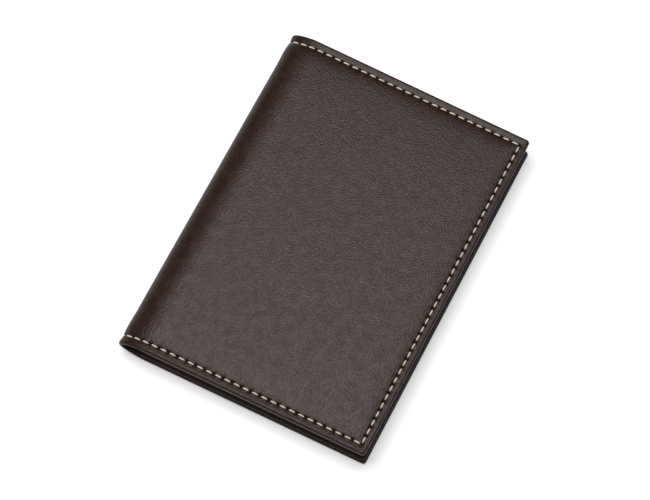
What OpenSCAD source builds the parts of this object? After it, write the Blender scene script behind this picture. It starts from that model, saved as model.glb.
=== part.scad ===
// Bifold passport holder, shut and lying on its rear cover.
// +X points to the fore-edge, +Y to the head and +Z up. The origin is under the middle of the shut holder.

/* [Closed size] */
// Width from the spine to the fore-edge, shut
width = 100; // [96:1:110]
// Height along the spine
height = 138; // [134:1:150]
// Thickness, shut and empty
thickness = 13; // [12:0.2:14]
// Radius of the corners in plan
corner_r = 2; // [1.5:0.5:4]

/* [Layers] */
// Outer leather
leather_t = 0.8; // [0.7:0.05:0.9]
// Stiffening board in each cover
board_t = 0.6; // [0.5:0.05:0.7]
// Textile lining
lining_t = 0.2; // [0.15:0.05:0.25]
// Leather of the passport sleeves
sleeve_t = 0.8; // [0.6:0.05:0.8]
// Leather of the card pockets
card_t = 0.35; // [0.3:0.05:0.4]
// Textile backing behind the upper card pockets
backer_t = 0.15; // [0.1:0.05:0.2]

/* [Edges and pockets] */
// Width of the outer leather turned in round the board
turn_in = 10; // [8:1:12]
// Width of the sleeve leather turned under at its seams
sleeve_hem = 5; // [4:0.5:5]
// Width of the hem at the sleeve's mouth
mouth_hem = 8; // [6:1:10]
// Clear height of the sleeve's mouth
mouth_gap = 0.3; // [0.2:0.05:0.4]
// Distance from the spine side to the sleeves' mouths
mouth_x = 7.7; // [7.3:0.1:10]
// Inset of the inner pieces from the cover's edge
inset = 0.4; // [0.3:0.1:0.8]
// Height of the lowest card mouth above the lower seam
card_mouth = 48; // [44:1:50]
// Step from one card mouth to the next
card_step = 14; // [12:1:16]
// Depth of each card pocket
card_depth = 50; // [48:1:52]

/* [Stitches] */
// Distance from the head and tail edges to the seam
seam_margin = 3.5; // [3:0.1:4]
// Distance from the fore-edge to the seam
fore_margin = 2.9; // [2.6:0.1:4]
// Stitches along the fore-edge of one cover
fore_stitches = 36; // [30:2:44]
// Stitches along the head of one cover, from the one at the middle of the spine to the corner
head_stitches = 27; // [25:1:29]
// Length of thread that shows in one stitch
stitch_len = 2.3; // [2:0.1:2.4]
// Radius of the thread
thread_r = 0.24; // [0.18:0.02:0.24]
// Radius of the finer thread of the pockets
fine_r = 0.15; // [0.1:0.01:0.17]
// Spacing of the finer stitches
fine_pitch = 3.2; // [2.8:0.1:4]
// Length of thread that shows in one finer stitch
fine_len = 2; // [1.6:0.1:2.2]

/* [Hidden] */
$fn = 64;
eps = 0.01;
leather_colour = [0.20, 0.16, 0.15];
lining_colour = [0.13, 0.10, 0.09];
board_colour = [0.55, 0.48, 0.40];
infill_colour = [0.62, 0.60, 0.56];
thread_colour = [0.86, 0.80, 0.70];

half_h = height / 2;
spine_r = thickness / 2;              // outer radius of the rolled spine
roll_x = -width / 2 + spine_r;        // centre of that roll
fore_x = width / 2;
joint_gap = 4;                        // degrees of roll left open at each fold line
inner_x = -width / 2 + mouth_x - 0.2; // where the boards begin

// heights in one cover, counted from its outer face
board_z = leather_t;
hem_z = board_z + board_t;
lining_z = hem_z + leather_t;
sleeve_z = lining_z + lining_t;
plate_z = sleeve_z + sleeve_t;
face_z = plate_z + sleeve_t;

seam_y = half_h - seam_margin;
seam_x = fore_x - fore_margin;
roll_len = PI * spine_r / 2;          // from the middle of the spine to the flat of a cover
fore_pitch = 2 * seam_y / fore_stitches;
head_pitch = (roll_len + seam_x - roll_x) / (head_stitches + 0.5);
groove_w = 2 * thread_r + 0.32;
groove_d = 2 * thread_r + 0.02;

card_x0 = -width / 2 + mouth_x + 0.3; // spine side of the card pockets
card_x1 = fore_x - inset - 0.2;
card_y0 = -half_h + inset + 0.2;
mouths = [for (i = [0:2]) card_y0 + card_mouth + i * card_step];
card_overlap = 3;                     // how far each pocket runs under the next
card_seam = 2;                        // width of its side seams
mouth_seam_x = card_x0 + 1.8;

// ---- helpers -------------------------------------------------------------

// Rectangle from x0 to the fore-edge side x1 with its two far corners rounded
module sheet_2d(x0, x1, half, r) {
    translate([x0, -half]) square([x1 - r - x0, 2 * half]);
    translate([x0, -half + r]) square([x1 - x0, 2 * (half - r)]);
    for (s = [-1, 1]) translate([x1 - r, s * (half - r)]) circle(r);
}

module sheet(x0, x1, half, r, z, t) {
    translate([0, 0, z]) linear_extrude(t) sheet_2d(x0, x1, half, r);
}

// Half ring that a sheet of thickness t makes where it turns back on itself over a gap
module turn_2d(t, gap) {
    difference() {
        circle(t + gap / 2);
        if (gap > 0) circle(gap / 2);
        translate([-2 * (2 * t + gap), -(2 * t + gap)]) square(2 * (2 * t + gap));
    }
}

// Sheet turned in round three edges: a face, a rounded edge and a hem, as one leather
module turned_sheet(x0, x1, half, r, z, t, gap, hem) {
    edge_r = t + gap / 2;
    x_in = x1 - edge_r;
    y_in = half - edge_r;
    bend = max(r - edge_r, 0.3);
    sheet(x0, x_in, y_in, bend, z, t);
    difference() {
        sheet(x0, x_in, y_in, bend, z + t + gap, t);
        translate([x0 - 1, -half + hem, z]) cube([x1 - hem - x0 + 1, 2 * (half - hem), 3 * t + gap]);
    }
    translate([0, 0, z + edge_r]) {
        for (s = [-1, 1]) {
            // head and tail
            translate([x0, s * y_in, 0]) rotate([90, 0, 90]) linear_extrude(x_in - bend - x0)
                mirror([s < 0 ? 1 : 0, 0]) turn_2d(t, gap);
            // the two corners
            translate([x_in - bend, s * (y_in - bend), 0]) rotate([0, 0, s > 0 ? 0 : -90])
                rotate_extrude(angle = 90) translate([bend, 0]) turn_2d(t, gap);
        }
        // fore-edge
        translate([x_in, y_in - bend, 0]) rotate([90, 0, 0]) linear_extrude(2 * (y_in - bend))
            turn_2d(t, gap);
    }
}

// Part of the rolled spine: outline in radius and y, from angle a0 to a1 round the roll
// (90 at the rear cover, 180 at the middle of the spine, 270 at the front cover)
module roll(a0, a1) {
    translate([roll_x, 0, spine_r]) rotate([-90, 0, 0]) rotate([0, 0, a0])
        rotate_extrude(angle = a1 - a0) children();
}

// Leather of the roll, with a turned hem and a stitch groove at head and tail
module roll_leather_2d() {
    difference() {
        union() {
            translate([spine_r - leather_t, -half_h + leather_t])
                square([leather_t, height - 2 * leather_t]);
            for (s = [-1, 1]) {
                translate([spine_r - leather_t, s * (half_h - leather_t)]) circle(leather_t);
                translate([spine_r - 2 * leather_t, s * (half_h - (turn_in + leather_t) / 2) - (turn_in - leather_t) / 2])
                    square([leather_t + eps, turn_in - leather_t]);
            }
        }
        for (s = [-1, 1]) translate([spine_r - groove_d, s * seam_y - groove_w / 2])
            square([groove_d + 1, groove_w]);
    }
}

// ---- one cover, drawn with its outer face on z = 0 -----------------------

module cover_leather() {
    color(leather_colour) {
        difference() {
            union() {
                turned_sheet(inner_x, fore_x, half_h, corner_r, 0, leather_t, board_t, turn_in);
                // the flat between the board and the roll, where the hem lies on the leather
                translate([roll_x, -half_h + leather_t, 0])
                    cube([inner_x - roll_x, height - 2 * leather_t, leather_t]);
                for (s = [-1, 1]) {
                    translate([roll_x, s * (half_h - leather_t), leather_t]) rotate([0, 90, 0])
                        cylinder(r = leather_t, h = inner_x - roll_x);
                    translate([roll_x, s * (half_h - (turn_in + leather_t) / 2) - (turn_in - leather_t) / 2, leather_t - eps])
                        cube([inner_x - roll_x + eps, turn_in - leather_t, leather_t + eps]);
                }
            }
            // stitch groove
            for (s = [-1, 1]) translate([roll_x - 1, s * seam_y - groove_w / 2, -1])
                cube([seam_x - roll_x + 1 + groove_w / 2, groove_w, groove_d + 1]);
            translate([seam_x - groove_w / 2, -seam_y, -1]) cube([groove_w, 2 * seam_y, groove_d + 1]);
        }
        roll(90, 135 - joint_gap / 2) roll_leather_2d();
    }
}

module cover_board() {
    edge = leather_t + board_t / 2;
    color(board_colour) sheet(inner_x, fore_x - edge, half_h - edge, corner_r - edge, board_z, board_t);
}

module cover_infill() {
    inner_half = half_h - turn_in;
    color(infill_colour) {
        translate([inner_x, -inner_half, hem_z]) cube([fore_x - turn_in - inner_x, 2 * inner_half, leather_t]);
        translate([roll_x, -inner_half, leather_t]) cube([inner_x - roll_x, 2 * inner_half, leather_t]);
        roll(90, 135 - joint_gap / 2) translate([spine_r - 2 * leather_t, -inner_half])
            square([leather_t, 2 * inner_half]);
    }
}

module cover_lining() {
    half = half_h - inset - 0.7;
    step_x = inner_x;
    low_z = 2 * leather_t;
    color(lining_colour) {
        sheet(step_x - lining_t, fore_x - inset - 0.7, half, corner_r, lining_z, lining_t);
        translate([step_x - lining_t, -half, low_z]) cube([lining_t, 2 * half, lining_z - low_z + eps]);
        translate([roll_x, -half, low_z]) cube([step_x - roll_x, 2 * half, lining_t]);
        roll(90, 135 - joint_gap / 2) translate([spine_r - low_z - lining_t, -half]) square([lining_t, 2 * half]);
    }
}

// Sleeve for one board of the passport: open towards the spine, its mouth hem skived thin
module cover_sleeve() {
    x0 = -width / 2 + mouth_x;
    half = half_h - inset;
    color(leather_colour) {
        translate([0, 0, sleeve_z + face_z]) mirror([0, 0, 1])
            turned_sheet(x0, fore_x - inset, half, corner_r, sleeve_z, sleeve_t, 0, sleeve_hem);
        translate([x0, -half + sleeve_hem - eps, sleeve_z + mouth_gap])
            cube([mouth_hem, 2 * (half - sleeve_hem + eps), sleeve_t - mouth_gap + eps]);
    }
}

// Threads of the perimeter seam on the flat of a cover and on its share of the roll
module cover_stitches() {
    thread_z = groove_d - thread_r;
    color(thread_colour) {
        for (i = [0:fore_stitches - 1])
            translate([seam_x, -seam_y + (i + 0.5) * fore_pitch, thread_z]) rotate([90, 0, 0])
                cylinder(r = thread_r, h = stitch_len, center = true);
        for (s = [-1, 1]) {
            for (k = [1:head_stitches]) {
                run = k * head_pitch;
                if (run > roll_len)
                    translate([roll_x + run - roll_len, s * seam_y, thread_z]) rotate([0, 90, 0])
                        cylinder(r = thread_r, h = stitch_len, center = true);
                else if (run > roll_len / 2)
                    roll_stitch(s, 180 - 180 * run / (PI * spine_r));
            }
        }
    }
}

// One thread of the seam lying round the roll, centred on an angle
module roll_stitch(s, angle) {
    half_angle = 90 * stitch_len / (PI * spine_r);
    roll(angle - half_angle, angle + half_angle) translate([spine_r - groove_d + thread_r, s * seam_y])
        circle(thread_r);
}

// Fine threads in a row along y, each on the highest layer that is under it
module mouth_row(levels) {
    y1 = half_h - inset - sleeve_hem;
    count = floor(2 * y1 / fine_pitch);
    color(thread_colour) for (i = [0:count - 1]) {
        y = (i - (count - 1) / 2) * fine_pitch;
        translate([mouth_seam_x, y, face_z + levels * card_level(y - fine_len / 2) + fine_r])
            rotate([90, 0, 0]) cylinder(r = fine_r, h = fine_len, center = true);
    }
}

// ---- the card pockets, drawn on the sleeve's face ------------------------

// Height of the pocket that is uppermost at y
function card_level(y) =
    y < mouths[0] ? 3 * card_t : y < mouths[1] ? 2 * card_t : y < mouths[2] ? card_t : 0;

// One pocket: a face up to its mouth and side seams that reach down to the sleeve
module card_pocket(level) {
    bottom = level == 0 ? card_y0 : mouths[level - 1] - card_overlap;
    top = mouths[level];
    lift = (2 - level) * card_t;
    z = face_z + lift;
    clear_top = top - card_overlap;
    color(leather_colour) {
        translate([card_x0, bottom, z]) cube([card_x1 - card_x0, top - bottom, card_t]);
        if (lift > 0) {
            for (x = [card_x0, card_x1 - card_seam])
                translate([x, bottom, face_z]) cube([card_seam, clear_top - bottom, lift + eps]);
            if (level == 0)
                translate([card_x0, bottom, face_z]) cube([card_x1 - card_x0, card_seam, lift + eps]);
        }
    }
}

// Textile that closes an upper pocket below the leather that shows
module card_backer(level) {
    top = mouths[level - 1] - card_overlap;
    bottom = mouths[level] - card_depth;
    color(lining_colour) translate([card_x0 + card_seam, bottom, face_z + (2 - level) * card_t])
        cube([card_x1 - card_x0 - 2 * card_seam, top - bottom, backer_t]);
}

// Decorative fine stitches just below each card mouth
module card_pocket_stitches_local() {
    x0 = mouth_seam_x + 2;
    count = floor((card_x1 - card_seam - 1.5 - x0) / fine_pitch);
    color(thread_colour) for (level = [0:2]) for (i = [0:count - 1])
        translate([x0 + (i + 0.5) * fine_pitch, mouths[level] - 1.8, face_z + (3 - level) * card_t + fine_r])
            rotate([0, 90, 0]) cylinder(r = fine_r, h = fine_len, center = true);
}

// ---- placing -------------------------------------------------------------

// The front cover is the rear one turned over onto the top
module in_front() {
    translate([0, 0, thickness]) mirror([0, 0, 1]) children();
}

module rear_cover_leather() cover_leather();
module rear_board() cover_board();
module rear_infill() cover_infill();
module rear_lining() cover_lining();
module rear_sleeve() cover_sleeve();
module rear_perimeter_stitches() cover_stitches();
module rear_mouth_stitches() mouth_row(0);

module spine_leather() {
    color(leather_colour) roll(135 + joint_gap / 2, 225 - joint_gap / 2) roll_leather_2d();
}

module spine_infill() {
    inner_half = half_h - turn_in;
    color(infill_colour) roll(135 + joint_gap / 2, 225 - joint_gap / 2)
        translate([spine_r - 2 * leather_t, -inner_half]) square([leather_t, 2 * inner_half]);
}

module spine_lining() {
    half = half_h - inset - 0.7;
    color(lining_colour) roll(135 + joint_gap / 2, 225 - joint_gap / 2)
        translate([spine_r - 2 * leather_t - lining_t, -half]) square([lining_t, 2 * half]);
}

module spine_stitches() {
    color(thread_colour) for (s = [-1, 1]) for (k = [-1:1])
        roll_stitch(s, 180 + k * 180 * head_pitch / (PI * spine_r));
}

module front_cover_leather() in_front() cover_leather();
module front_board() in_front() cover_board();
module front_infill() in_front() cover_infill();
module front_lining() in_front() cover_lining();
module front_sleeve() in_front() cover_sleeve();
module front_perimeter_stitches() in_front() cover_stitches();
module front_mouth_stitches() in_front() mouth_row(1);
module card_pocket_lower() in_front() card_pocket(0);
module card_pocket_middle() in_front() card_pocket(1);
module card_pocket_upper() in_front() card_pocket(2);
module card_backer_middle() in_front() card_backer(1);
module card_backer_upper() in_front() card_backer(2);
module card_pocket_stitches() in_front() card_pocket_stitches_local();

rear_cover_leather();
rear_board();
rear_infill();
rear_lining();
rear_sleeve();
rear_perimeter_stitches();
rear_mouth_stitches();
spine_leather();
spine_infill();
spine_lining();
spine_stitches();
front_cover_leather();
front_board();
front_infill();
front_lining();
front_sleeve();
front_perimeter_stitches();
front_mouth_stitches();
card_pocket_lower();
card_pocket_middle();
card_pocket_upper();
card_backer_middle();
card_backer_upper();
card_pocket_stitches();
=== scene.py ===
import math

import bpy
import numpy as np
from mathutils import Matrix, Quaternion, Vector


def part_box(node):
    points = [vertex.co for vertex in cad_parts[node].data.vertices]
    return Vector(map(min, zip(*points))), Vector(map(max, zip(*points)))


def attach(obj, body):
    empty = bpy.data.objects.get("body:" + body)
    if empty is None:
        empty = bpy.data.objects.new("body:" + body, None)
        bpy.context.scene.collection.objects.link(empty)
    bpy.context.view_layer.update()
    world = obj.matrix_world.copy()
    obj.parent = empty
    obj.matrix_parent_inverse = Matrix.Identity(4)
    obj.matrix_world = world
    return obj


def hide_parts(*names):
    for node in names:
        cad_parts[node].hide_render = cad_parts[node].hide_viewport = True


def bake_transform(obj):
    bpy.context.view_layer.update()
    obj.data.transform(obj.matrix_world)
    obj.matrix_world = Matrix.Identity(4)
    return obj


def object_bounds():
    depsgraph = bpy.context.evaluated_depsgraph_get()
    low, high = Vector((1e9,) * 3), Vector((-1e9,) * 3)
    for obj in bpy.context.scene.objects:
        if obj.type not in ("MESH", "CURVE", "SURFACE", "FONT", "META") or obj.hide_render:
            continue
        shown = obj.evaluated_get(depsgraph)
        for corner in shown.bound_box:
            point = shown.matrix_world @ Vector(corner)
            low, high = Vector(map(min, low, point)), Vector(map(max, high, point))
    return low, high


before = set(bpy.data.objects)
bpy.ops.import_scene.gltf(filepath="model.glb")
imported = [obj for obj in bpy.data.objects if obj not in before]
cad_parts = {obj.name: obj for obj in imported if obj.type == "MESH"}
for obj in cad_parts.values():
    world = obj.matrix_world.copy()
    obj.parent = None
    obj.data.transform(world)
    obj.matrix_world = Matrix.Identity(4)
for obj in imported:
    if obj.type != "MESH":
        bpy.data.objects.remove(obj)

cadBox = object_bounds()
mm = 0.001

# The shut holder, in millimetres, from the frame
left = cadBox[0].x / mm
right = cadBox[1].x / mm
halfH = cadBox[1].y / mm
thick = (cadBox[1].z - cadBox[0].z) / mm
width = right - left

# Shader maths


class Wire:
    # One shader socket. Arithmetic on it adds Math nodes, and add() makes any other node.
    def __init__(self, tree, socket=None):
        self.tree = tree
        self.socket = socket

    def add(self, kind, settings=None, values=None, output=0):
        made = self.tree.nodes.new(kind)
        for key, value in (settings or {}).items():
            setattr(made, key, value)
        for key, value in (values or {}).items():
            if isinstance(value, Wire):
                self.tree.links.new(value.socket, made.inputs[key])
            else:
                made.inputs[key].default_value = value
        return Wire(self.tree, made.outputs[output])

    def maths(self, operation, *values):
        sockets = dict(enumerate((self,) + values))
        return self.add("ShaderNodeMath", {"operation": operation}, sockets)

    def flipped(self, operation, value):
        return self.add("ShaderNodeMath", {"operation": operation}, {0: value, 1: self})

    def __add__(self, other):
        return self.maths("ADD", other)

    def __radd__(self, other):
        return self.maths("ADD", other)

    def __sub__(self, other):
        return self.maths("SUBTRACT", other)

    def __rsub__(self, other):
        return self.flipped("SUBTRACT", other)

    def __mul__(self, other):
        return self.maths("MULTIPLY", other)

    def __rmul__(self, other):
        return self.maths("MULTIPLY", other)

    def range(self, low, high):
        # 0 at low, 1 at high, smooth between
        return self.add("ShaderNodeMapRange", {"interpolation_type": "SMOOTHSTEP"},
                        {"Value": self, "From Min": low, "From Max": high})

    def mix(self, first, second):
        # A colour between two, with this socket as the share of the second
        return self.add("ShaderNodeMix", {"data_type": "RGBA"}, {0: self, 6: first, 7: second}, 2)

    def part(self, output):
        # Another output of the same node
        return Wire(self.tree, self.socket.node.outputs[output])


def newMaterial(name):
    made = bpy.data.materials.new(name)
    made.use_nodes = True
    tree = made.node_tree
    tree.nodes.clear()
    output = tree.nodes.new("ShaderNodeOutputMaterial")
    shader = tree.nodes.new("ShaderNodeBsdfPrincipled")
    tree.links.new(shader.outputs[0], output.inputs[0])
    return made, Wire(tree), shader


def plug(start, shader, socket, wire):
    start.tree.links.new(wire.socket, shader.inputs[socket])


def bumpOf(start, height):
    # height is in metres
    return start.add("ShaderNodeBump", None, {"Strength": 1.0, "Distance": 1.0, "Height": height})


# Materials

leatherLook = dict(
    dark=(0.0148, 0.0049, 0.0028, 1),
    light=(0.0290, 0.0100, 0.0062, 1),
    holeShade=(0.003, 0.0015, 0.001, 1),    # painted shade deep in a needle hole, over the darker raw leather there
    wobble=420,                # bends the grain, so that its rows aren't straight
    wobbleSize=0.0007,
    pebble=1650,               # pebbles per metre
    pebbleSoft=0.35,
    pebbleEdge=(0.15, 0.75),   # where a pebble begins to fall, and where it ends in a groove
    pebbleDepth=0.000060,      # depths are in metres
    pore=5200,
    poreDepth=0.000010,
    wrinkle=1400,              # fine wrinkles, longer one way than the other
    stretch=0.36,
    lean=-32,                  # degrees between the wrinkles and the spine
    wrinkleDepth=0.000078,
    crease=240,                # long creases
    creaseWide=0.06,
    creaseDepth=0.00005,
    swell=45,                  # slow swell of the whole hide
    swellDepth=0.00030,
    patch=260,                 # patches of deeper and shallower grain
    patchEdge=(0.3, 0.75),
    patchDepth=(0.45, 0.9),    # share of the pebbles' depth that is always there, and that a patch adds
    tint=(0.45, 0.4, 0.15),    # how much pebbles, patches and pores lighten the colour
    rough=(0.16, 0.20, 0.24, 0.3),    # and how much grooves, patches, wrinkles and holes roughen it
    roughness=0.35,
    roughMiddle=0.29,          # what the varying terms of the roughness add up to on average
    gloss=0.30,
)


def leather(name, look, tone=1.0, roughness=None):
    # Height is pebbles times their patch, plus pores, fine wrinkles, long creases and a slow swell
    made, start, shader = newMaterial(name)
    place = start.add("ShaderNodeAttribute", {"attribute_name": "flat"}, None, 1)
    wobble = start.add("ShaderNodeTexNoise", None, {"Vector": place, "Scale": look["wobble"], "Detail": 3}, 1)
    bent = place.add("ShaderNodeVectorMath", {"operation": "MULTIPLY_ADD"},
                     {0: wobble, 1: (look["wobbleSize"],) * 3, 2: place})
    cells = start.add("ShaderNodeTexVoronoi", {"feature": "SMOOTH_F1"},
                      {"Vector": bent, "Scale": look["pebble"], "Smoothness": look["pebbleSoft"]})
    pebbles = 1 - cells.range(*look["pebbleEdge"])
    pores = start.add("ShaderNodeTexNoise", None, {"Vector": bent, "Scale": look["pore"], "Detail": 2})
    turned = start.add("ShaderNodeMapping", None,
                       {"Vector": bent, "Rotation": (0, 0, math.radians(look["lean"])),
                        "Scale": (1, look["stretch"], 1)})
    folds = start.add("ShaderNodeTexNoise", None,
                      {"Vector": turned, "Scale": look["crease"], "Detail": 5, "Roughness": 0.6})
    wrinkles = start.add("ShaderNodeTexNoise", None,
                         {"Vector": turned, "Scale": look["wrinkle"], "Detail": 2, "Roughness": 0.5})
    ridge = (folds - 0.5).maths("ABSOLUTE").range(0.0, look["creaseWide"])
    swell = start.add("ShaderNodeTexNoise", None, {"Vector": place, "Scale": look["swell"], "Detail": 2})
    patch = start.add("ShaderNodeTexNoise", None, {"Vector": place, "Scale": look["patch"], "Detail": 4})
    always, added = look["patchDepth"]
    height = (pebbles * look["pebbleDepth"] * (patch * added + always) + pores * look["poreDepth"]
              + wrinkles * look["wrinkleDepth"]
              + ridge * look["creaseDepth"] * patch * 0.5 + swell * look["swellDepth"])
    plug(start, shader, "Normal", bumpOf(start, height))
    tint = look["tint"]
    share = pebbles * tint[0] + patch.range(*look["patchEdge"]) * tint[1] + pores * tint[2]
    darker = tuple(tone * c for c in look["dark"][:3]) + (1,)
    lighter = tuple(tone * c for c in look["light"][:3]) + (1,)
    # At needle holes the colour is pulled towards the hole's colour: painted shade, partly the real dark raw
    # leather in the hole
    pinchAndShade = start.add("ShaderNodeAttribute", {"attribute_name": "pinchAndShade"}, None, 2)
    plug(start, shader, "Base Color", pinchAndShade.mix(share.mix(darker, lighter), look["holeShade"]))
    base = look["roughness"] if roughness is None else roughness
    rough = look["rough"]
    plug(start, shader, "Roughness",
         (1 - pebbles) * rough[0] + patch * rough[1] + wrinkles * rough[2] + pinchAndShade * rough[3]
         + (base - look["roughMiddle"]))
    shader.inputs["Specular IOR Level"].default_value = look["gloss"]
    return made


threadLook = dict(
    dark=(0.50, 0.42, 0.31),
    light=(0.90, 0.83, 0.69),
    twist=5200.0,      # how fast the plies wind along the thread, in radians per metre
    plies=3.0,
    plyDepth=0.00006,
    fuzz=3000,
    fuzzDepth=0.00001,
)


def threadMaterial(name, tone):
    # Three plies wound round each other: a slanted wave on the thread's own length and angle
    made, start, shader = newMaterial(name)
    place = start.add("ShaderNodeAttribute", {"attribute_name": "lie"}, None, 1)
    parts = place.add("ShaderNodeSeparateXYZ", None, {0: place})
    along, angle = parts.part(0), parts.part(1)
    ply = (along * threadLook["twist"] + angle * threadLook["plies"]).maths("SINE") * 0.5 + 0.5
    fuzz = start.add("ShaderNodeTexNoise", None, {"Vector": place, "Scale": threadLook["fuzz"], "Detail": 3})
    share = ply * 0.7 + fuzz * 0.3
    dark = tuple(tone * c for c in threadLook["dark"]) + (1,)
    light = tuple(tone * c for c in threadLook["light"]) + (1,)
    plug(start, shader, "Base Color", share.range(0.1, 0.8).mix(dark, light))
    plug(start, shader, "Roughness", fuzz * 0.2 + 0.5)
    plug(start, shader, "Normal",
         bumpOf(start, ply * threadLook["plyDepth"] + fuzz * threadLook["fuzzDepth"]))
    return made


def weave(name, dark, light, pitch):
    # Plain weave: warp and weft waves, each on top in turn
    made, start, shader = newMaterial(name)
    place = start.add("ShaderNodeAttribute", {"attribute_name": "flat"}, None, 1)
    parts = place.add("ShaderNodeSeparateXYZ", None, {0: place})
    across = parts.part(0) * (math.pi / pitch)
    down = parts.part(1) * (math.pi / pitch)
    warp = across.maths("SINE").maths("ABSOLUTE")
    weft = down.maths("SINE").maths("ABSOLUTE")
    turn = ((across * 0.5).maths("SINE") * (down * 0.5).maths("SINE")).range(-0.2, 0.2)
    yarn = warp * turn + weft * (1 - turn)
    fuzz = start.add("ShaderNodeTexNoise", None, {"Vector": place, "Scale": 900, "Detail": 3})
    share = yarn * 0.75 + fuzz * 0.25
    plug(start, shader, "Base Color", share.mix(dark, light))
    plug(start, shader, "Roughness", 0.95 - yarn * 0.15)
    plug(start, shader, "Normal", bumpOf(start, yarn * 0.00005 + fuzz * 0.00001))
    return made


def fibres(name, dark, light, scale, depth):
    # Short fibres pressed together: stretched noise over fine noise
    made, start, shader = newMaterial(name)
    place = start.add("ShaderNodeAttribute", {"attribute_name": "flat"}, None, 1)
    long = start.add("ShaderNodeMapping", None, {"Vector": place, "Scale": (1, 0.25, 1)})
    strands = start.add("ShaderNodeTexNoise", None, {"Vector": long, "Scale": scale, "Detail": 5})
    specks = start.add("ShaderNodeTexNoise", None, {"Vector": place, "Scale": scale * 3, "Detail": 2})
    share = strands * 0.7 + specks * 0.3
    plug(start, shader, "Base Color", share.range(0.3, 0.7).mix(dark, light))
    plug(start, shader, "Roughness", 0.8 + specks * 0.15)
    plug(start, shader, "Normal", bumpOf(start, share * depth))
    return made


coverLeather = leather("coverLeather", leatherLook)
sleeveLeather = leather("sleeveLeather", leatherLook, tone=0.9, roughness=0.52)
pocketLeather = leather("pocketLeather", leatherLook, tone=0.95, roughness=0.5)
seamThread = threadMaterial("seamThread", 0.93)
fineThread = threadMaterial("fineThread", 0.85)
liningCloth = weave("liningCloth", (0.010, 0.007, 0.006, 1), (0.032, 0.024, 0.021, 1), 0.00035)
pressedBoard = fibres("pressedBoard", (0.20, 0.16, 0.11, 1), (0.42, 0.35, 0.26, 1), 700, 0.00003)
infillFelt = fibres("infillFelt", (0.30, 0.28, 0.25, 1), (0.55, 0.52, 0.48, 1), 1100, 0.00006)
print("materials made")

# The lie of the covers

# Places on a cover are s, the length of leather from the middle of the spine, y along the spine and
# the depth below the outer face, all in millimetres.
nose = dict(
    length=13.0,      # how far the curve of the spine runs into each cover
    power=0.57,       # how full the curve is: a half makes an ellipse
    tipPower=0.07,    # how much blunter its tip is
    tipShare=0.1,     # how far from the tip that reaches, as a share of the curve
    flare=0.0166,     # how much longer the spine is than the fore-edge
    bulge=0.75,       # how far the doubled leather at each end of the spine stands out
    bulgeRun=16.0,    # and how far along the spine that reaches
)


def smooth(t):
    t = np.clip(t, 0, 1)
    return t * t * (3 - 2 * t)


def noseCurve(t):
    # Half height over full half height: (2t - t squared) to a power that falls to a half at the tip
    t = np.clip(t, 0, 1)
    power = nose["power"] - nose["tipPower"] * np.exp(-t / nose["tipShare"])
    return np.clip(2 * t - t * t, 0, 1) ** power


fineT = np.linspace(0, 1, 4001) ** 2
noseRun = fineT * nose["length"]
noseStep = np.hypot(np.diff(noseRun), np.diff(noseCurve(fineT)) * thick / 2)
noseArc = np.concatenate([[0], np.cumsum(noseStep)])
spare = noseArc[-1] - nose["length"]
coverS = width + spare      # length of leather from the middle of the spine to the fore-edge


def runOf(s):
    # Distance from the spine's tip, measured across the cover, for a length s of leather
    s = np.abs(s)
    return np.where(s < noseArc[-1], np.interp(s, noseArc, noseRun), s - spare)


def flare(x, y):
    # The leather is stretched a little longer at the spine than at the fore-edge
    return y * (1 - nose["flare"] * x / width)


def lay(s, y, depth, side):
    # Each layer is a smaller copy of the outer curve: its tip moves in by its depth, and so do its
    # faces. The spine's ends stand out by the bulge, fading towards the middle and into the cover.
    s, y, depth = np.broadcast_arrays(np.asarray(s, float), y, depth)
    run = runOf(s)
    t = np.clip(run / nose["length"], 0, 1)
    x = left + np.where(run < nose["length"], depth + t * (nose["length"] - depth), run)
    toEnd = smooth((np.abs(y) - halfH + nose["bulgeRun"]) / nose["bulgeRun"])
    x = x - nose["bulge"] * (1 - t) ** 2 * toEnd
    rise = (thick / 2 - depth) * noseCurve(t)
    z = thick / 2 + side * np.where(s < 0, -1, 1) * rise
    return np.stack([x, flare(x, y), z], -1)


edge = dict(
    thin=1.5,      # turned edge near the spine, where no board stiffens it
    full=2.2,      # turned edge over the board
    start=7.5,     # where it begins to thicken, measured from the spine's tip
    end=13.0,
)


def edgeThickness(s):
    # Thin near the spine, full over the board, smooth between
    run = runOf(s)
    share = smooth((run - edge["start"]) / (edge["end"] - edge["start"]))
    return edge["thin"] + (edge["full"] - edge["thin"]) * share


# Meshes


def buildMesh(name, points, faces, material, flat=None, lie=None, pinchAndShade=None, sharpLoops=()):
    # points are in millimetres, and each array of faces has one number of corners
    mesh = bpy.data.meshes.new(name)
    corners = np.concatenate([f.ravel() for f in faces]).astype(np.int32)
    counts = np.concatenate([np.full(len(f), f.shape[1]) for f in faces]).astype(np.int32)
    mesh.vertices.add(len(points))
    mesh.vertices.foreach_set("co", (points * mm).astype(np.float32).ravel())
    mesh.loops.add(len(corners))
    mesh.loops.foreach_set("vertex_index", corners)
    mesh.polygons.add(len(counts))
    mesh.polygons.foreach_set("loop_start", (np.cumsum(counts) - counts).astype(np.int32))
    mesh.polygons.foreach_set("use_smooth", np.ones(len(counts), bool))
    mesh.update(calc_edges=True)
    for label, values in (("flat", flat), ("lie", lie)):
        if values is not None:
            layer = mesh.attributes.new(label, "FLOAT_VECTOR", "POINT")
            layer.data.foreach_set("vector", (values * mm).astype(np.float32).ravel())
    layer = mesh.attributes.new("pinchAndShade", "FLOAT", "POINT")
    pinchAndShade = np.zeros(len(points)) if pinchAndShade is None else pinchAndShade
    layer.data.foreach_set("value", pinchAndShade.astype(np.float32))
    if len(sharpLoops):
        marked = np.zeros(len(points), bool)
        marked[np.concatenate([np.ravel(loop) for loop in sharpLoops])] = True
        ends = np.zeros(len(mesh.edges) * 2, np.int32)
        mesh.edges.foreach_get("vertices", ends)
        mesh.edges.foreach_set("use_edge_sharp", marked[ends.reshape(-1, 2)].all(1))
    mesh.materials.append(material)
    made = bpy.data.objects.new(name, mesh)
    bpy.context.scene.collection.objects.link(made)
    return made


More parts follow.
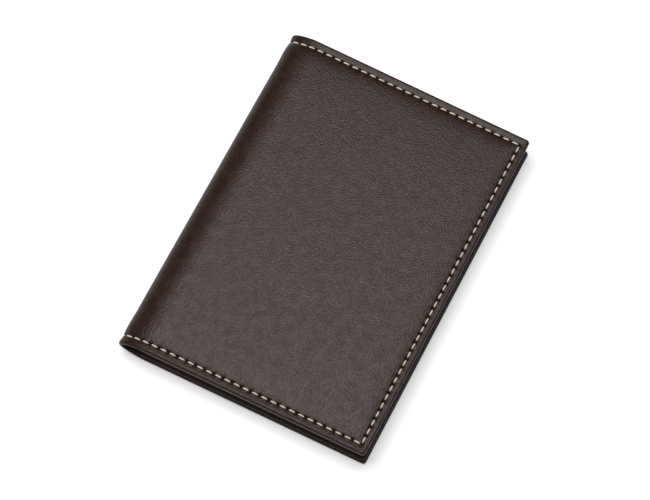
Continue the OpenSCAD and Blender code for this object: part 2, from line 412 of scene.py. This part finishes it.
def gridFaces(index):
    # Quads of a grid of vertex numbers, which face along its second direction crossed with its first
    a, b, c, d = index[:-1, :-1], index[:-1, 1:], index[1:, 1:], index[1:, :-1]
    return np.stack([a, b, c, d], -1).reshape(-1, 4)


def halvingFaces(fine, coarse):
    # Triangles between a row and one that has every second of its points
    a, b, c = fine[:-2:2], fine[1:-1:2], fine[2::2]
    p, q = coarse[:-1], coarse[1:]
    return np.concatenate([np.stack([a, b, p], -1), np.stack([b, q, p], -1), np.stack([b, c, q], -1)])


def solidify(piece, thickness):
    # The mesh is the outer face, and the leather's thickness goes inwards
    made = piece.modifiers.new("thickness", "SOLIDIFY")
    made.thickness = thickness * mm
    made.offset = -1
    made.use_even_offset = False


def outlinePoints(ticks, inset, s0, s1, half, radius, closed):
    # Points of a rectangle's outline at an inset: tail, fore-edge, head, and the mouth when it is closed.
    # ticks are shares of each side. A corner's radius shrinks by the inset, down to a sharp corner.
    low = s0 + (inset if closed else 0)
    high = s1 - inset
    side = half - inset
    legs = [((low, -side), (high, -side), ticks[0]), ((high, -side), (high, side), ticks[1]),
            ((high, side), (low, side), 1 - ticks[0][::-1])]
    if closed:
        legs.append(((low, side), (low, -side), ticks[1]))
    rows = [np.array(a) + (np.array(b) - np.array(a)) * t[:-1, None] for a, b, t in legs]
    path = np.concatenate(rows + ([] if closed else [np.array([[low, side]])]))
    bend = max(radius - inset, 0)
    if bend > 0:
        corners = [(high, -side, 1, -1), (high, side, 1, 1)]
        corners += [(low, side, -1, 1), (low, -side, -1, -1)] if closed else []
        for cx, cy, sx, sy in corners:
            dx, dy = (cx - path[:, 0]) * sx, (cy - path[:, 1]) * sy
            near = (dx < bend) & (dy < bend)
            turn = math.pi / 4 * (1 + (dx - dy) / bend)      # from the x side round to the y side
            path[:, 0] = np.where(near, cx - sx * bend * (1 - np.cos(turn)), path[:, 0])
            path[:, 1] = np.where(near, cy - sy * bend * (1 - np.sin(turn)), path[:, 1])
    return path


def turnedSheet(name, shape, relief, place, material, pinchAndShade=None):
    # A sheet with its edges turned under: a flat panel inside rings that run across the border,
    # half way round the edge and back along the hem. relief is the height of the outer face,
    # place turns s, y and depth into a point.
    ticks = shape["ticks"]
    closed = shape["closed"]
    facing = shape["side"]
    outline = (shape["s0"], shape["s1"], shape["half"], shape["radius"], closed)
    rows, flats = [], []

    def ring(inset, depth, unrolled):
        # unrolled is how far past the edge this ring would be if the leather were flat
        path = outlinePoints(ticks, inset, *outline)
        out = outlinePoints(ticks, inset - unrolled if unrolled else inset, *outline)
        rows.append(place(path[:, 0], path[:, 1], depth(path)))
        flats.append(np.stack([out[:, 0], out[:, 1], np.zeros(len(out))], -1))

    full = shape["edge"]
    for inset in shape["hemRings"]:
        taper = shape["hemTaper"] * smooth((inset - shape["taperFrom"]) / shape["taperRun"])
        ring(inset, lambda p, taper=taper: full(p[:, 0]) - taper, 2 * inset + 1)
    for angle in np.linspace(math.pi, 0, shape["edgeSteps"] + 1):
        path = outlinePoints(ticks, 0, *outline)
        bend = full(path[:, 0]).mean() / 2
        ringInset = bend * (1 - math.sin(angle))

        def depth(p, angle=angle):
            own = full(p[:, 0]) / 2
            return own * (1 - math.cos(angle)) - relief(p[:, 0], p[:, 1]) * (1 + math.cos(angle)) / 2

        ring(ringInset, depth, bend * angle)
    for inset in shape["topRings"]:
        ring(inset, lambda p: -relief(p[:, 0], p[:, 1]), 0)
    count = len(rows[0])
    points = np.concatenate(rows)
    flat = np.concatenate(flats)
    index = np.arange(len(points)).reshape(len(rows), count)
    if closed:
        index = np.concatenate([index, index[:, :1]], 1)
    faces = [gridFaces(index)]
    # the panel, with half as many points, joined to the last ring by triangles
    inset = shape["panelInset"]
    low = shape["s0"] + (inset if closed else 0)
    gs = low + (shape["s1"] - inset - low) * ticks[0][::2]
    gy = -shape["half"] + inset + 2 * (shape["half"] - inset) * ticks[1][::2]
    ss, yy = np.meshgrid(gs, gy)
    panel = np.arange(ss.size).reshape(ss.shape) + len(points)
    border = [panel[0, :-1], panel[:-1, -1], panel[-1, ::-1][:-1], panel[::-1, 0][:-1]]
    border = np.concatenate(border[:4 if closed else 3] + [panel[:1, 0] if closed else panel[-1:, 0]])
    points = np.concatenate([points, place(ss, yy, -relief(ss, yy)).reshape(-1, 3)])
    flat = np.concatenate([flat, np.stack([ss, yy, ss * 0], -1).reshape(-1, 3)])
    faces += [halvingFaces(index[-1], border), gridFaces(panel)]
    if facing < 0:
        faces = [f[:, ::-1] for f in faces]
    sharp = [index[0]] + ([] if closed else [index[:, 0], index[:, -1], panel[:, 0]])
    # needle holes are marked only on the rings of the outer face and on the panel
    onTop = np.arange(len(points)) >= (len(rows) - len(shape["topRings"])) * count
    marks = None if pinchAndShade is None else onTop * pinchAndShade(flat[:, 0], flat[:, 1])
    made = buildMesh(name, points, faces, material, flat=flat, pinchAndShade=marks, sharpLoops=sharp)
    solidify(made, shape["leather"])
    return made


# Stitches

seam = dict(
    margin=3.5,        # from the head and tail edges to the seam
    foreMargin=2.9,    # from the fore-edge to the seam
    firstTop=4.4,      # first stitch of the front cover, from the middle of the spine
    headCount=26,
    foreCount=36,
    valley=0.38,       # how deep the seam pulls the leather in
    borderRise=2.5,    # width of the border that rises from the seam
    puff=0.10,         # height of the panel just inside the seam
    puffRun=1.7,
    crown=0.55,        # how much more it rises towards its middle
    crownRun=5.0,
    holeDepth=0.60,    # needle hole: its depth, and its reach along and across the seam
    holeLong=0.62,
    holeWide=0.44,
    pucker=0.05,       # rise of the leather between two holes
    puckerIn=1.5,      # its reach inside the seam, and outside it
    puckerOut=1.0,
    shows=3.10,        # length of each stitch, ends included
    dive=1.25,         # how deep its ends go
    slant=0.05,        # how far its ends lie to either side of the seam
    halfWide=0.31,     # half width and half height of the thread
    halfHigh=0.22,
    sink=0.12,         # how much deeper the rear cover's stitches are pressed in, as it lies on them
    insideSink=0.06,   # how deep the inside stitches lie, and how much of their height shows
    insideShare=0.8,
)
seamY = halfH - seam["margin"]
seamS = coverS - seam["foreMargin"]
forePitch = 2 * seamY / seam["foreCount"]
headPitch = (seamS - seam["firstTop"]) / (seam["headCount"] - 0.5)
firstHole = seam["firstTop"] - headPitch / 2


def wave(along, pitch):
    # Distance along the seam from the nearest hole
    return (along + pitch / 2) % pitch - pitch / 2


def coverRelief(side):
    # Height of the outer face: a border that rises away from the seam, a valley along it, a puffed
    # and crowned panel inside it, less a dip at each needle hole and a pucker between two holes
    puff = seam["puff"] if side > 0 else 0.0
    crown = seam["crown"] if side > 0 else 0.0
    shift = firstHole if side > 0 else headPitch - firstHole

    def rising(inset):
        # 0 at the seam, nearing 1 away from it
        return 1 - np.exp(-np.maximum(inset, 0) / seam["crownRun"])

    def height(s, y):
        toFore = coverS - s
        toEnd = halfH - np.abs(y)
        foreInset = toFore - seam["foreMargin"]
        endInset = toEnd - seam["margin"]
        fore = foreInset < endInset
        inset = np.where(fore, foreInset, endInset)
        gap = np.where(fore, wave(y + seamY, forePitch), wave(s - shift, headPitch))
        border = -seam["valley"] * (1 - smooth(-inset / seam["borderRise"]) * 0.5
                                    - np.clip(-inset / seam["borderRise"], 0, 1) * 0.5)
        within = np.maximum(inset, 0)
        panel = (-seam["valley"] + (seam["valley"] + puff) * (1 - np.exp(-within / seam["puffRun"]))
                 + crown * rising(foreInset) * rising(endInset))
        dip = seam["holeDepth"] * np.exp(-(gap / seam["holeLong"]) ** 2 - (inset / seam["holeWide"]) ** 2)
        reach = np.where(inset > 0, seam["puckerIn"], seam["puckerOut"])
        pucker = seam["pucker"] * np.cos(2 * math.pi * gap / np.where(fore, forePitch, headPitch))
        pucker = pucker * np.exp(-(inset / reach) ** 2)
        return np.where(inset < 0, border, panel) - dip - pucker

    def pinchAndShade(s, y):
        # 1 at a needle hole, fading out round it. It roughens the pinched leather there and darkens its
        # colour with painted shade, partly the dark raw leather
        below = -height(s, y) - seam["valley"]
        return smooth(below / seam["holeDepth"] * 1.4)
    return height, pinchAndShade


stitch = dict(
    sides=8,
    steps=9,
    taper=0.6,         # how much thinner its ends are, and how late they thin
    taperPower=2.2,
    rise=0.75,         # height of its middle line, as a share of its half height
    divePower=5,       # how late its ends dive
)


def threads(centres, size, place):
    # Each stitch is a flattened tube along its seam that thins and dives towards both ends.
    # centres is an array of (along, across), and place turns along, across and height into a point.
    sides, steps = stitch["sides"], stitch["steps"]
    halfWide, halfHigh = size["halfWide"], size["halfHigh"]
    t = np.linspace(-1, 1, steps)
    angle = np.arange(sides) * 2 * math.pi / sides
    slim = 1 - stitch["taper"] * np.abs(t) ** stitch["taperPower"]
    along = t * size["shows"] / 2
    lift = halfHigh * stitch["rise"] - size["dive"] * np.abs(t) ** stitch["divePower"]
    a = centres[:, 0, None, None] + along[None, :, None] + 0 * angle
    c = (centres[:, 1, None, None] + (size["slant"] * t)[None, :, None]
         + halfWide * slim[None, :, None] * np.cos(angle))
    h = lift[None, :, None] + halfHigh * slim[None, :, None] * np.sin(angle) + 0 * a
    points = place(a, c, h)
    count = len(centres)
    index = np.arange(count * steps * sides).reshape(count, steps, sides)
    index = np.concatenate([index, index[:, :, :1]], 2)
    quads = np.stack([index[:, :-1, :-1], index[:, 1:, :-1], index[:, 1:, 1:], index[:, :-1, 1:]], -1)
    caps = [index[:, 0, :-1], index[:, -1, :-1][:, ::-1]]
    # the thread's own length in metres, and its angle in radians, once buildMesh has scaled them
    lie = np.stack([a, 0 * a + angle / mm, 0 * a], -1).reshape(-1, 3)
    return points.reshape(-1, 3), [quads.reshape(-1, 4)] + caps, lie


def joinParts(parts):
    # Points, faces and lies of several parts as one. A part that is marked is turned inside out.
    points, faces, lies, start = [], [], [], 0
    for (partPoints, partFaces, partLie), flip in parts:
        partFaces = [f[:, ::-1] for f in partFaces] if flip else partFaces
        faces += [f + start for f in partFaces]
        start += len(partPoints)
        points.append(partPoints)
        lies.append(partLie)
    return np.concatenate(points), faces, np.concatenate(lies)


pocketNodes = ("card_pocket_lower", "card_pocket_middle", "card_pocket_upper")
pockets = dict(
    low=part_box(pocketNodes[0])[0].y / mm,
    mouths=[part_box(node)[1].y / mm for node in pocketNodes],
    leather=0.35,
    fromMouth=0.3,      # the pockets begin this far from the sleeve's mouth
)
sleeve = dict(
    mouth=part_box("rear_sleeve")[0].x / mm,
    fore=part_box("rear_sleeve")[1].x / mm,
    half=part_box("rear_sleeve")[1].y / mm,
    outer=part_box("rear_sleeve")[0].z / mm,
    inner=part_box("rear_sleeve")[1].z / mm,
)
liningT = 0.2


def pocketsAt(y):
    # How many of the stepped card pockets lie over each other there
    return sum((y < mouth) * 1.0 for mouth in pockets["mouths"])


def innerDepth(s, y, side):
    # Depth of the face that is seen from inside: lining by the spine, then the sleeve, then the pockets
    x = left + runOf(s)
    depth = np.where(x < sleeve["mouth"], edgeThickness(s) + liningT, sleeve["inner"])
    if side > 0:
        onPocket = (x > sleeve["mouth"] + pockets["fromMouth"]) & (y > pockets["low"])
        depth = depth + np.where(onPocket, pocketsAt(y) * pockets["leather"], 0)
    return depth


def perimeterThreads(name, side):
    # The seam's stitches outside and inside, from the middle of the spine round the cover and back
    first = seam["firstTop"] if side > 0 else headPitch - seam["firstTop"]
    sink = 0 if side > 0 else seam["sink"]
    run = first + headPitch * np.arange(seam["headCount"] + (side < 0))
    run = run[run < seamS]
    fore = -seamY + forePitch * (np.arange(seam["foreCount"]) + 0.5)
    parts = []
    for outside in (True, False):
        def lift(s, y, h, outside=outside):
            if outside:
                return lay(s, y, seam["valley"] + sink - h, side)
            return lay(s, y, innerDepth(s, y, side) - seam["insideSink"] + h * seam["insideShare"], side)

        for sign in (-1, 1):
            def alongEnd(a, c, h, sign=sign, lift=lift):
                return lift(a, sign * (seamY + c), h)

            centres = np.stack([run, 0 * run], -1)
            parts.append((threads(centres, seam, alongEnd), (sign * side > 0) == outside))

        def alongFore(a, c, h, lift=lift):
            return lift(seamS + c, a, h)

        centres = np.stack([fore, 0 * fore], -1)
        parts.append((threads(centres, seam, alongFore), (side > 0) != outside))
    points, faces, lie = joinParts(parts)
    made = buildMesh(name, points, faces, seamThread, lie=lie)
    return made


# The pieces

tipRun = 2.0          # the leather nearest the middle of the spine, which has more points
alongTicks = np.concatenate([np.linspace(0, tipRun, 15)[:-1], np.linspace(tipRun, coverS, 201)]) / coverS
endTicks = np.linspace(0, 1, 277)
topRings = [1.4, 1.7, 2.0, 2.25, 2.45, 2.6, 2.75, 2.9, 3.05, 3.2, 3.3, 3.4, 3.5, 3.6, 3.7, 3.85, 4.0,
            4.2, 4.5, 4.9, 5.3]


def bendAcross(piece, side):
    # Bakes the piece's placement into its mesh, the same way for either side
    if side < 0:
        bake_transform(piece)
    else:
        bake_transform(piece)


def outerCover(name, side, nodes):
    shape = dict(ticks=(alongTicks, endTicks), closed=False, side=side, s0=0, s1=coverS, half=halfH,
                 radius=1.3, hemRings=[10, 9, 8, 6.5, 5, 3.5, 2.2, 1.5], hemTaper=0.35, taperFrom=7,
                 taperRun=3, edgeSteps=12, edge=edgeThickness, topRings=topRings, panelInset=5.9,
                 leather=0.68)
    relief, pinchAndShade = coverRelief(side)
    made = turnedSheet(name, shape, relief, lambda s, y, depth: lay(s, y, depth, side), coverLeather, pinchAndShade)
    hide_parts(*nodes)
    bendAcross(made, side)


outerCover("frontLeather", 1, ["front_cover_leather"])
outerCover("rearLeather", -1, ["rear_cover_leather", "spine_leather"])
print("outer leather made")

for threadName, threadSide, threadNodes in (
        ("frontSeam", 1, ["front_perimeter_stitches"]),
        ("rearSeam", -1, ["rear_perimeter_stitches", "spine_stitches"])):
    seamPiece = perimeterThreads(threadName, threadSide)
    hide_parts(*threadNodes)
    bendAcross(seamPiece, threadSide)
print("perimeter seams made")


def slab(name, s, y, outer, inner, place, material, side):
    # A closed sheet between two depths, over a grid of s and y
    ss, yy = np.meshgrid(s, y)
    top = place(ss, yy, outer(ss, yy))
    low = place(ss, yy, inner(ss, yy))
    count = ss.size
    index = np.arange(count).reshape(ss.shape)
    rim = np.concatenate([index[0, :-1], index[:-1, -1], index[-1, ::-1][:-1], index[::-1, 0]])
    walls = np.stack([rim[:-1], rim[:-1] + count, rim[1:] + count, rim[1:]], -1)[:, ::-1]
    faces = [gridFaces(index), gridFaces(index + count)[:, ::-1], walls]
    if side < 0:
        faces = [f[:, ::-1] for f in faces]
    points = np.concatenate([top.reshape(-1, 3), low.reshape(-1, 3)])
    flat = np.tile(np.stack([ss, yy, 0 * ss], -1).reshape(-1, 3), (2, 1))
    return buildMesh(name, points, faces, material, flat=flat, sharpLoops=[rim, rim + count])


inside = dict(
    liningInset=1.5,    # from the edges of the cover to the edges of each layer
    feltInset=10.2,
    boardInset=1.3,
    feltDeep=0.72,      # how far the felt reaches out from the hem's inner face
    feltGap=0.02,
    boardStart=10.5,    # where the board begins, from the middle of the spine
    boardOut=0.74,      # depth of its outer face
    boardIn=0.8,        # and how far its inner face is from the hem's
    groove=0.4,         # how deep the seam presses into it, and how wide
    grooveWide=1.2,
)


def layers(side, word, nodes):
    # Felt, board and lining of one cover, all bent like its leather
    def place(s, y, depth):
        return lay(s, y, depth, side)

    step = np.concatenate([np.linspace(0, 14, 36), np.linspace(15, coverS - inside["liningInset"], 50)])
    y = np.linspace(-1, 1, 60)
    lining = slab(word + "Lining", step, y * (halfH - inside["liningInset"]), lambda s, v: edgeThickness(s),
                  lambda s, v: edgeThickness(s) + liningT, place, liningCloth, side)
    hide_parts(*nodes["lining"])
    feltS = step[step < coverS - inside["feltInset"]]
    felt = slab(word + "Infill", feltS, y * (halfH - inside["feltInset"]),
                lambda s, v: edgeThickness(s) - inside["feltDeep"],
                lambda s, v: edgeThickness(s) - inside["feltGap"], place, infillFelt, side)
    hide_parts(*nodes["infill"])

    def pressed(s, v):
        # The seam presses a groove into the board: depth plus a bell across the seam line
        toSeam = np.minimum(np.abs(seamS - s), np.abs(seamY - np.abs(v)))
        return inside["boardOut"] + inside["groove"] * np.exp(-(toSeam / inside["grooveWide"]) ** 2)

    boardS = np.linspace(inside["boardStart"], coverS - inside["boardInset"], 190)
    boardY = np.linspace(-1, 1, 280)
    board = slab(word + "Board", boardS, boardY * (halfH - inside["boardInset"]), pressed,
                 lambda s, v: edgeThickness(s) - inside["boardIn"], place, pressedBoard, side)
    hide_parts(*nodes["board"])
    for piece in (lining, felt):
        bendAcross(piece, side)
    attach(board, "front_cover" if side > 0 else "back_cover")


layers(1, "front", dict(lining=["front_lining"], infill=["front_infill"], board=["front_board"]))
layers(-1, "rear", dict(lining=["rear_lining", "spine_lining"], infill=["rear_infill", "spine_infill"],
                        board=["rear_board"]))
print("linings and boards made")

# The sleeves

sleeveLook = dict(
    valley=0.16,        # how deep the seams pull the leather in
    run=1.3,            # half width of that, at the outer seam and at the mouth's
    mouthRun=0.8,
    mouthShare=0.6,     # pull of the mouth's seam, as a share of the outer seam's
    mouthSeam=2.1,      # from the mouth to its stitches
    hemWide=6,          # width of the mouth's pared hem, and the run over which it thickens
    hemRun=4,
    hemShare=0.81,      # how thick it is there, as a share of the sleeve
)


def flatPlace(side):
    # x, y and height above the outer face of the rear cover, or below that of the front
    def place(x, y, depth):
        x, y, depth = np.broadcast_arrays(np.asarray(x, float), y, depth)
        return np.stack([x, flare(x, y), thick - depth if side > 0 else depth], -1)
    return place


def sleeveRelief(x, y):
    # The sleeve's own face, pulled in along the outer seam and along the mouth's seam
    toSeam = np.minimum(np.abs(right - seam["foreMargin"] - x), np.abs(seamY - np.abs(y)))
    toMouth = np.abs(x - sleeve["mouth"] - sleeveLook["mouthSeam"])
    pull = (np.exp(-(toSeam / sleeveLook["run"]) ** 2)
            + sleeveLook["mouthShare"] * np.exp(-(toMouth / sleeveLook["mouthRun"]) ** 2))
    return -sleeveLook["valley"] * np.minimum(pull, 1)


def sleevePiece(name, side, body, node):
    ticks = (np.linspace(0, 1, 141), np.linspace(0, 1, 201))
    base = flatPlace(side)

    def place(x, y, depth):
        return base(x, y, sleeve["inner"] - depth)

    def thickness(x):
        # thinner where the mouth's hem is pared down
        past = smooth((x - sleeve["mouth"] - sleeveLook["hemWide"]) / sleeveLook["hemRun"])
        share = sleeveLook["hemShare"] + (1 - sleeveLook["hemShare"]) * past
        return (sleeve["inner"] - sleeve["outer"]) * share

    shape = dict(ticks=ticks, closed=True, side=-side, s0=sleeve["mouth"], s1=sleeve["fore"],
                 half=sleeve["half"], radius=1.6, hemRings=[5, 4, 3, 2, 1.4], hemTaper=0.0, taperFrom=7,
                 taperRun=3, edgeSteps=8, edge=thickness, panelInset=4.3, leather=0.66,
                 topRings=[1.1, 1.5, 1.9, 2.3, 2.6, 2.8, 3.0, 3.4, 3.8])
    made = turnedSheet(name, shape, sleeveRelief, place, sleeveLeather)
    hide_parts(node)
    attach(made, body)


sleevePiece("frontSleeve", 1, "front_cover", "front_sleeve")
sleevePiece("rearSleeve", -1, "back_cover", "rear_sleeve")
print("sleeves made")

# The card pockets

pocketSpan = (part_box(pocketNodes[0])[0].x / mm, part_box(pocketNodes[0])[1].x / mm)
fineSeam = dict(
    pitch=3.2,
    shows=2.6,         # length of each stitch, ends included
    halfWide=0.19,
    halfHigh=0.13,
    dive=0.4,
    slant=0.04,
    fromMouth=1.8,     # from a card pocket's mouth to its stitches
    pocketStart=2,     # from the sleeve mouth's stitches to the first of a card pocket's
    pocketEnd=3.5,     # from the last to the pocket's fore-edge
    sleeveEnd=5,       # from the sleeve's ends to its mouth's stitches
    pocketPress=0.08,  # how deep the stitches are pressed into a pocket, and into the rear sleeve
    sleevePress=0.09,
)
pocketLook = dict(
    tuck=3,            # how far an upper pocket reaches below the mouth of the one under it
    roundRun=0.3,      # its rounded edge: width and drop
    roundDrop=0.16,
    crease=0.09,       # depth and half width of the line pressed by the mouth's seam
    creaseWide=0.4,
    pull=0.10,         # and of the valley over the cover's own seam
    pullWide=0.8,
)


def cardPocket(level, name, node):
    # One strip of leather: a face with a rounded mouth edge, a pressed line below it and thin sides
    low = pockets["low"] if level == 0 else pockets["mouths"][level - 1] - pocketLook["tuck"]
    high = pockets["mouths"][level]
    lift = (2 - level) * pockets["leather"]
    base = sleeve["inner"] + lift
    x = np.concatenate([[0, 0.05, 0.15, 0.3], np.linspace(0.6, pocketSpan[1] - pocketSpan[0] - 0.6, 90)])
    x = pocketSpan[0] + np.concatenate([x, pocketSpan[1] - pocketSpan[0] - np.array([0.3, 0.15, 0.05, 0])])
    y = np.concatenate([low + np.array([0, 0.05, 0.15, 0.3]), np.linspace(low + 0.6, high - 3, 30),
                        high - np.array([2.7, 2.4, 2.15, 2.0, 1.9, 1.8, 1.7, 1.6, 1.45, 1.2, 0.9, 0.6, 0.4,
                                         0.25, 0.12, 0.05, 0])])

    def face(xx, yy):
        toSide = np.minimum(xx - pocketSpan[0], pocketSpan[1] - xx)
        toEnd = np.minimum(high - yy, yy - low)
        near = np.clip(np.minimum(toSide, toEnd) / pocketLook["roundRun"], 0, 1)
        roundOff = pocketLook["roundDrop"] * (1 - np.sqrt(np.clip(1 - (1 - near) ** 2, 0, 1)))
        toCrease = (high - fineSeam["fromMouth"] - yy) / pocketLook["creaseWide"]
        crease = pocketLook["crease"] * np.exp(-toCrease ** 2)
        toSeam = (right - seam["foreMargin"] - xx) / pocketLook["pullWide"]
        seamPull = pocketLook["pull"] * np.exp(-toSeam ** 2)
        return base + pockets["leather"] - roundOff - crease - seamPull

    made = slab(name, x, y, lambda xx, yy: base + 0 * xx, face, flatPlace(1), pocketLeather, 1)
    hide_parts(node)
    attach(made, "front_cover")


for pocketLevel, pocketName in enumerate(("cardPocketLower", "cardPocketMiddle", "cardPocketUpper")):
    cardPocket(pocketLevel, pocketName, pocketNodes[pocketLevel])


def cardBacker(name, node):
    # Lining cloth behind an upper pocket
    low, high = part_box(node)
    made = slab(name, np.linspace(low.x, high.x, 40) / mm, np.linspace(low.y, high.y, 20) / mm,
                lambda x, y: thick - high.z / mm + 0 * x, lambda x, y: thick - low.z / mm + 0 * x,
                flatPlace(1), liningCloth, 1)
    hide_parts(node)
    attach(made, "front_cover")


cardBacker("cardBackerMiddle", "card_backer_middle")
cardBacker("cardBackerUpper", "card_backer_upper")


def fineThreads(name, rows, side, body, node, ground):
    # Rows of fine stitches; each row is its centres and whether it runs along y
    base = flatPlace(side)
    parts = []
    for centres, alongY in rows:
        def place(a, c, h, alongY=alongY):
            x, y = (c, a) if alongY else (a, c)
            return base(x, y, ground(x, y) + h)

        parts.append((threads(centres, fineSeam, place), (side > 0) == alongY))
    points, faces, lie = joinParts(parts)
    made = buildMesh(name, points, faces, fineThread, lie=lie)
    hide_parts(node)
    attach(made, body)


def mouthRows():
    run = sleeve["half"] - fineSeam["sleeveEnd"]
    count = int(2 * run / fineSeam["pitch"])
    along = (np.arange(count) - (count - 1) / 2) * fineSeam["pitch"]
    return [(np.stack([along, 0 * along + sleeve["mouth"] + sleeveLook["mouthSeam"]], -1), True)]


def mouthGround(side):
    def ground(x, y):
        level = pocketsAt(y) if side > 0 else 0
        press = 0 if side > 0 else fineSeam["sleevePress"]
        return sleeve["inner"] + level * pockets["leather"] - press
    return ground


fineThreads("frontMouthSeam", mouthRows(), 1, "front_cover", "front_mouth_stitches", mouthGround(1))
fineThreads("rearMouthSeam", mouthRows(), -1, "back_cover", "rear_mouth_stitches", mouthGround(-1))


def pocketRows():
    start = sleeve["mouth"] + sleeveLook["mouthSeam"] + fineSeam["pocketStart"]
    count = int((pocketSpan[1] - fineSeam["pocketEnd"] - start) / fineSeam["pitch"])
    along = start + (np.arange(count) + 0.5) * fineSeam["pitch"]
    return [(np.stack([along, 0 * along + mouth - fineSeam["fromMouth"]], -1), False)
            for mouth in pockets["mouths"]]


def pocketGround(x, y):
    return sleeve["inner"] + pocketsAt(y) * pockets["leather"] - fineSeam["pocketPress"]


fineThreads("cardPocketSeam", pocketRows(), 1, "front_cover", "card_pocket_stitches", pocketGround)
print("card pockets made")

# Floor, light and camera

studio = dict(
    floorSize=4.0,                # the studio is in metres and degrees
    floorColour=(0.86, 0.86, 0.86, 1),
    floorGlow=0.30,
    world=0.035,
    box=(-0.15, 0.05, 0.95),      # middle of the softbox
    boxSize=(0.90, 0.80),
    boxPower=11.6,
    target=(0.000865, -0.00391, 0.010),
    azimuth=30.357,
    elevation=69.288,
    roll=-3.367,
    distance=0.994,
    lens=149.13,
)


def makeFloor():
    made, _, shader = newMaterial("studioFloor")
    shader.inputs["Base Color"].default_value = studio["floorColour"]
    shader.inputs["Roughness"].default_value = 0.9
    shader.inputs["Specular IOR Level"].default_value = 0.1
    shader.inputs["Emission Color"].default_value = (1, 1, 1, 1)
    shader.inputs["Emission Strength"].default_value = studio["floorGlow"]
    size = studio["floorSize"] / mm / 2
    corners = np.array([[-size, -size, 0], [size, -size, 0], [size, size, 0], [-size, size, 0]], float)
    floor = buildMesh("studioFloor", corners, [np.array([[0, 1, 2, 3]])], made)


def areaLight(name, place, aim, size, power):
    data = bpy.data.lights.new(name, "AREA")
    data.shape = "RECTANGLE"
    data.size, data.size_y = size
    data.energy = power
    made = bpy.data.objects.new(name, data)
    made.location = place
    made.rotation_euler = (Vector(aim) - Vector(place)).to_track_quat("-Z", "Y").to_euler()
    bpy.context.scene.collection.objects.link(made)


def makeCamera():
    azimuth, elevation = math.radians(studio["azimuth"]), math.radians(studio["elevation"])
    back = Vector((math.sin(azimuth) * math.cos(elevation), -math.cos(azimuth) * math.cos(elevation),
                   math.sin(elevation)))
    data = bpy.data.cameras.new("camera")
    data.lens = studio["lens"]
    data.sensor_width = 36
    made = bpy.data.objects.new("camera", data)
    made.location = Vector(studio["target"]) + back * studio["distance"]
    turned = (-back).to_track_quat("-Z", "Y") @ Quaternion((0, 0, 1), math.radians(studio["roll"]))
    made.rotation_euler = turned.to_euler()
    bpy.context.scene.collection.objects.link(made)
    bpy.context.scene.camera = made


makeFloor()
makeCamera()
world = bpy.data.worlds.new("world")
world.use_nodes = True
world.node_tree.nodes["Background"].inputs[0].default_value = (1, 1, 1, 1)
world.node_tree.nodes["Background"].inputs[1].default_value = studio["world"]
bpy.context.scene.world = world
under = studio["box"][:2] + (0,)      # the softbox looks straight down
areaLight("softbox", studio["box"], under, studio["boxSize"], studio["boxPower"])
bpy.context.scene.view_settings.view_transform = "Standard"
print("studio made")
